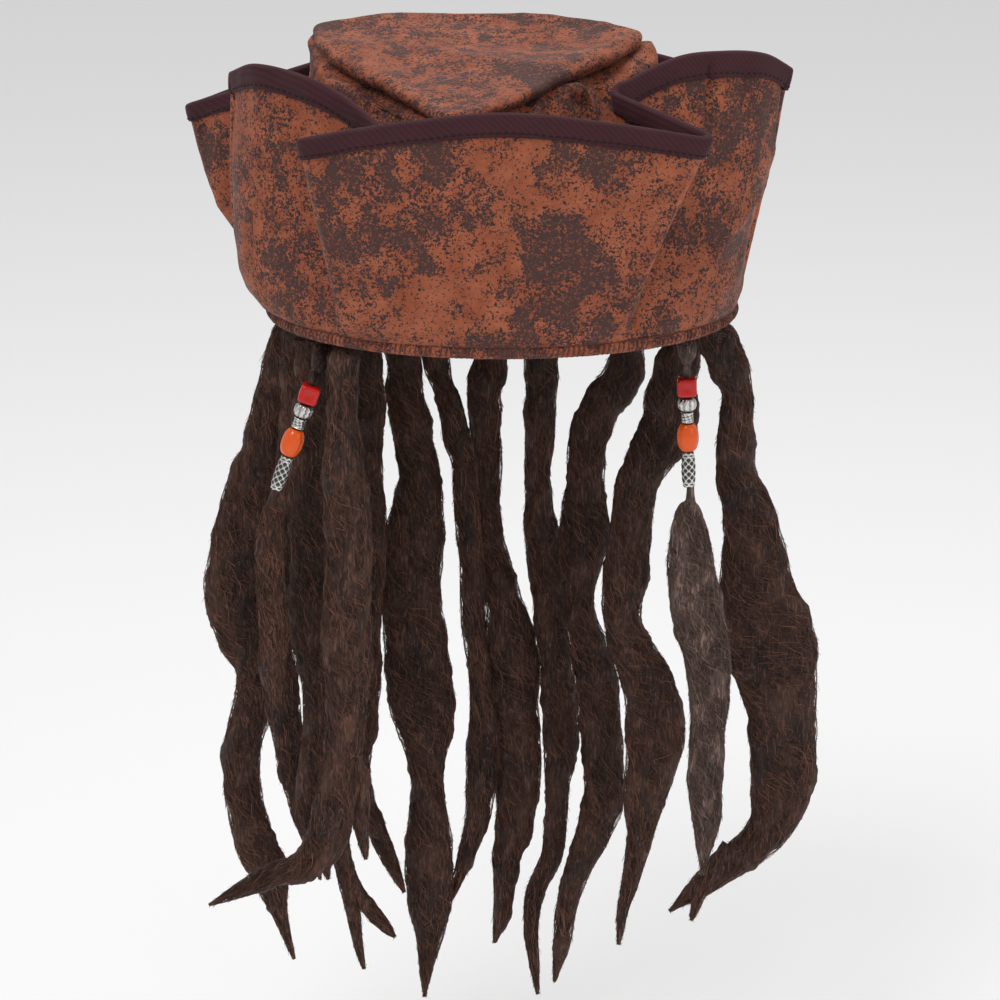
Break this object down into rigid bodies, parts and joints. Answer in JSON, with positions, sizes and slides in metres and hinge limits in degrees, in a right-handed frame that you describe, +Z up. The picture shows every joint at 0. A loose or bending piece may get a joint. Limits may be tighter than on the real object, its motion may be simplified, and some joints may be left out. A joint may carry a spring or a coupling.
{
  "type": "pirate hat with dreadlocks",
  "caption": "Costume pirate hat with a turned-up pleated brim, soft crown and beaded dreadlocks that hang from inside the head opening.",
  "frame": {"origin": "centre of the head opening, at the level of the base seam", "axes": "+X to the wearer's left, +Y to the back of the hat, +Z up out of the crown; the hair hangs below the origin"},
  "size_m": [0.3057, 0.2173, 0.5071],
  "materials": {
    "suede_outer": "printed faux suede, rust orange with dark brown patches",
    "suede_inner": "printed faux suede",
    "suede_side": "printed faux suede, wrinkled",
    "suede_tip": "printed faux suede, wrinkled",
    "seam_ridge": "folded seam allowance",
    "binding": "twill bias tape with one row of stitching",
    "base_thread": "overlocked thread edge",
    "lining": "dark woven lining",
    "sweatband": "woven tape",
    "weft": "woven tape carrying the hair",
    "hair": "felted synthetic hair, fuzzy",
    "bead_red": "glossy",
    "bead_orange": "glossy",
    "bead_silver": "antiqued metal"
  },
  "bodies": {
    "hat": {"crown_tip": "suede_tip", "crown_seam_ridge": "seam_ridge", "crown_side": "suede_side", "crown_lining": "lining", "brim_outer": "suede_outer", "brim_inner": "suede_inner", "brim_binding": "binding", "base_seam": "base_thread", "sweatband": "sweatband", "hair_weft_band": "weft"},
    "lock_left_1": {"lock_left_1": "hair"},
    "lock_left_2": {"lock_left_2": "hair"},
    "lock_left_3": {"lock_left_3": "hair"},
    "lock_left_4": {"lock_left_4": "hair"},
    "lock_left_5": {"lock_left_5": "hair"},
    "lock_left_6": {"lock_left_6": "hair"},
    "lock_back_1": {"lock_back_1": "hair"},
    "lock_back_2": {"lock_back_2": "hair"},
    "lock_back_3": {"lock_back_3": "hair"},
    "lock_back_4": {"lock_back_4": "hair"},
    "lock_back_5": {"lock_back_5": "hair"},
    "lock_right_1": {"lock_right_1": "hair"},
    "lock_right_2": {"lock_right_2": "hair"},
    "strand_right": {"strand_right": "hair"},
    "strand_left": {"strand_left": "hair"},
    "bead_red_left": {"bead_red_left": "bead_red"},
    "bead_rosette_left": {"bead_rosette_left": "bead_silver"},
    "bead_tube_left": {"bead_tube_left": "bead_silver"},
    "bead_orange_left": {"bead_orange_left": "bead_orange"},
    "bead_long_left": {"bead_long_left": "bead_silver"},
    "bead_red_right": {"bead_red_right": "bead_red"},
    "bead_rosette_right": {"bead_rosette_right": "bead_silver"},
    "bead_tube_right": {"bead_tube_right": "bead_silver"},
    "bead_orange_right": {"bead_orange_right": "bead_orange"},
    "bead_long_right": {"bead_long_right": "bead_silver"}
  },
  "joints": [
    {"name": "swing_lock_left_1", "type": "hinge", "parent": "hat", "child": "lock_left_1", "pos_m": [-0.09837, 0.004, -0.0105], "axis": [-1, 0, 0], "range_deg": [-2, 30]},
    {"name": "swing_lock_left_2", "type": "hinge", "parent": "hat", "child": "lock_left_2", "pos_m": [-0.096, -0.012, -0.0105], "axis": [-1, 0, 0], "range_deg": [-2, 30]},
    {"name": "swing_lock_left_3", "type": "hinge", "parent": "hat", "child": "lock_left_3", "pos_m": [-0.09, -0.029, -0.0105], "axis": [-1, 0, 0], "range_deg": [-2, 30]},
    {"name": "swing_lock_left_4", "type": "hinge", "parent": "hat", "child": "lock_left_4", "pos_m": [-0.07266, -0.053, -0.0105], "axis": [-1, 0, 0], "range_deg": [-2, 30]},
    {"name": "swing_lock_left_5", "type": "hinge", "parent": "hat", "child": "lock_left_5", "pos_m": [-0.06497, 0.059, -0.0105], "axis": [1, 0, 0], "range_deg": [-2, 30]},
    {"name": "swing_lock_left_6", "type": "hinge", "parent": "hat", "child": "lock_left_6", "pos_m": [-0.08, 0.04, -0.0105], "axis": [1, 0, 0], "range_deg": [-2, 30]},
    {"name": "swing_lock_back_1", "type": "hinge", "parent": "hat", "child": "lock_back_1", "pos_m": [-0.049, 0.068, -0.0105], "axis": [1, 0, 0], "range_deg": [-2, 35]},
    {"name": "swing_lock_back_2", "type": "hinge", "parent": "hat", "child": "lock_back_2", "pos_m": [-0.03287, 0.074, -0.0105], "axis": [1, 0, 0], "range_deg": [-2, 35]},
    {"name": "swing_lock_back_3", "type": "hinge", "parent": "hat", "child": "lock_back_3", "pos_m": [-0.0055, 0.0778, -0.0105], "axis": [1, 0, 0], "range_deg": [-2, 35]},
    {"name": "swing_lock_back_4", "type": "hinge", "parent": "hat", "child": "lock_back_4", "pos_m": [0.02, 0.0765, -0.0105], "axis": [1, 0, 0], "range_deg": [-2, 35]},
    {"name": "swing_lock_back_5", "type": "hinge", "parent": "hat", "child": "lock_back_5", "pos_m": [0.06042, 0.062, -0.0105], "axis": [1, 0, 0], "range_deg": [-2, 35]},
    {"name": "swing_lock_right_1", "type": "hinge", "parent": "hat", "child": "lock_right_1", "pos_m": [0.08878, 0.034, -0.0105], "axis": [1, 0, 0], "range_deg": [-2, 30]},
    {"name": "swing_lock_right_2", "type": "hinge", "parent": "hat", "child": "lock_right_2", "pos_m": [0.09837, 0.004, -0.0105], "axis": [1, 0, 0], "range_deg": [-2, 35]},
    {"name": "swing_strand_right", "type": "hinge", "parent": "hat", "child": "strand_right", "pos_m": [0.086, -0.04, -0.0105], "axis": [-1, 0, 0], "range_deg": [-2, 35]},
    {"name": "swing_strand_left", "type": "hinge", "parent": "hat", "child": "strand_left", "pos_m": [-0.083, -0.042, -0.0105], "axis": [-1, 0, 0], "range_deg": [-2, 30]},
    {"name": "spin_bead_red_left", "type": "hinge", "parent": "strand_left", "child": "bead_red_left", "pos_m": [-0.08972, -0.05227, -0.03075], "axis": [0.3309, 0.0331, 0.9431], "continuous": true},
    {"name": "spin_bead_rosette_left", "type": "hinge", "parent": "strand_left", "child": "bead_rosette_left", "pos_m": [-0.09248, -0.05255, -0.03863], "axis": [0.3309, 0.0331, 0.9431], "continuous": true},
    {"name": "spin_bead_tube_left", "type": "hinge", "parent": "strand_left", "child": "bead_tube_left", "pos_m": [-0.09458, -0.05276, -0.04462], "axis": [0.3309, 0.0331, 0.9431], "continuous": true},
    {"name": "spin_bead_orange_left", "type": "hinge", "parent": "strand_left", "child": "bead_orange_left", "pos_m": [-0.09781, -0.05308, -0.05381], "axis": [0.3309, 0.0331, 0.9431], "continuous": true},
    {"name": "spin_bead_long_left", "type": "hinge", "parent": "strand_left", "child": "bead_long_left", "pos_m": [-0.10299, -0.0536, -0.06857], "axis": [0.3309, 0.0331, 0.9431], "continuous": true},
    {"name": "spin_bead_red_right", "type": "hinge", "parent": "strand_right", "child": "bead_red_right", "pos_m": [0.08628, -0.04, -0.03051], "axis": [-0.0328, 0, 0.9995], "continuous": true},
    {"name": "spin_bead_rosette_right", "type": "hinge", "parent": "strand_right", "child": "bead_rosette_right", "pos_m": [0.08655, -0.04, -0.03886], "axis": [-0.0328, 0, 0.9995], "continuous": true},
    {"name": "spin_bead_tube_right", "type": "hinge", "parent": "strand_right", "child": "bead_tube_right", "pos_m": [0.08676, -0.04, -0.0452], "axis": [-0.0328, 0, 0.9995], "continuous": true},
    {"name": "spin_bead_orange_right", "type": "hinge", "parent": "strand_right", "child": "bead_orange_right", "pos_m": [0.08708, -0.04, -0.05495], "axis": [-0.0328, 0, 0.9995], "continuous": true},
    {"name": "spin_bead_long_right", "type": "hinge", "parent": "strand_right", "child": "bead_long_right", "pos_m": [0.08759, -0.04, -0.07059], "axis": [-0.0328, 0, 0.9995], "continuous": true}
  ],
  "couplings": [
    {"joint": "swing_lock_left_2", "follows": "swing_lock_left_1", "ratio": 1},
    {"joint": "swing_lock_left_3", "follows": "swing_lock_left_1", "ratio": 1},
    {"joint": "swing_lock_left_4", "follows": "swing_lock_left_1", "ratio": 1},
    {"joint": "swing_strand_left", "follows": "swing_lock_left_1", "ratio": 1},
    {"joint": "swing_lock_back_2", "follows": "swing_lock_back_1", "ratio": 1},
    {"joint": "swing_lock_back_3", "follows": "swing_lock_back_1", "ratio": 1}
  ]
}
